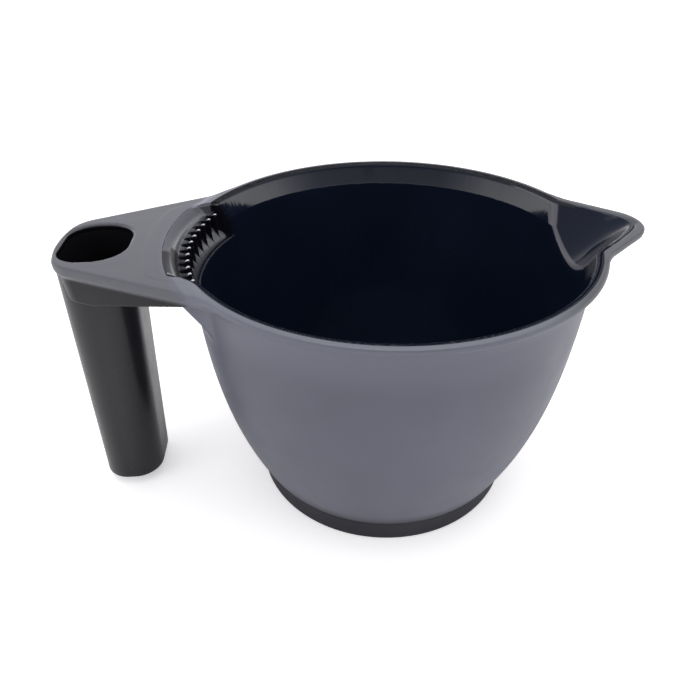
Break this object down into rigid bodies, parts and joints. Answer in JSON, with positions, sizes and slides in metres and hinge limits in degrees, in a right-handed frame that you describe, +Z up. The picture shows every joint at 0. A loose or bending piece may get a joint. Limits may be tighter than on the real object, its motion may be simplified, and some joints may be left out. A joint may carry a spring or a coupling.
{
  "type": "hair colour bowl",
  "caption": "Round tint mixing bowl with a pouring spout, a flat handle deck with a hanging brush-socket tube, a toothed brush wiper and a rubber foot ring.",
  "frame": {"origin": "centre of the foot ring's underside, on the table plane", "axes": "+Z up along the bowl's axis, -X towards the handle, +X towards the spout's tip"},
  "size_m": [0.1894, 0.135, 0.0945],
  "materials": {
    "satin_shell": "satin charcoal, fine moulded texture",
    "gloss_liner": "polished black",
    "gloss_comb": "polished black with worn light tooth tips",
    "satin_tube": "satin charcoal",
    "satin_cap": "satin charcoal",
    "foot_rubber": "matte dark grey rubber"
  },
  "bodies": {
    "root": {"bowl_shell": "satin_shell", "bowl_liner": "gloss_liner", "brush_comb": "gloss_comb", "handle_tube": "satin_tube", "handle_end_cap": "satin_cap", "foot_ring": "foot_rubber"}
  },
  "joints": []
}
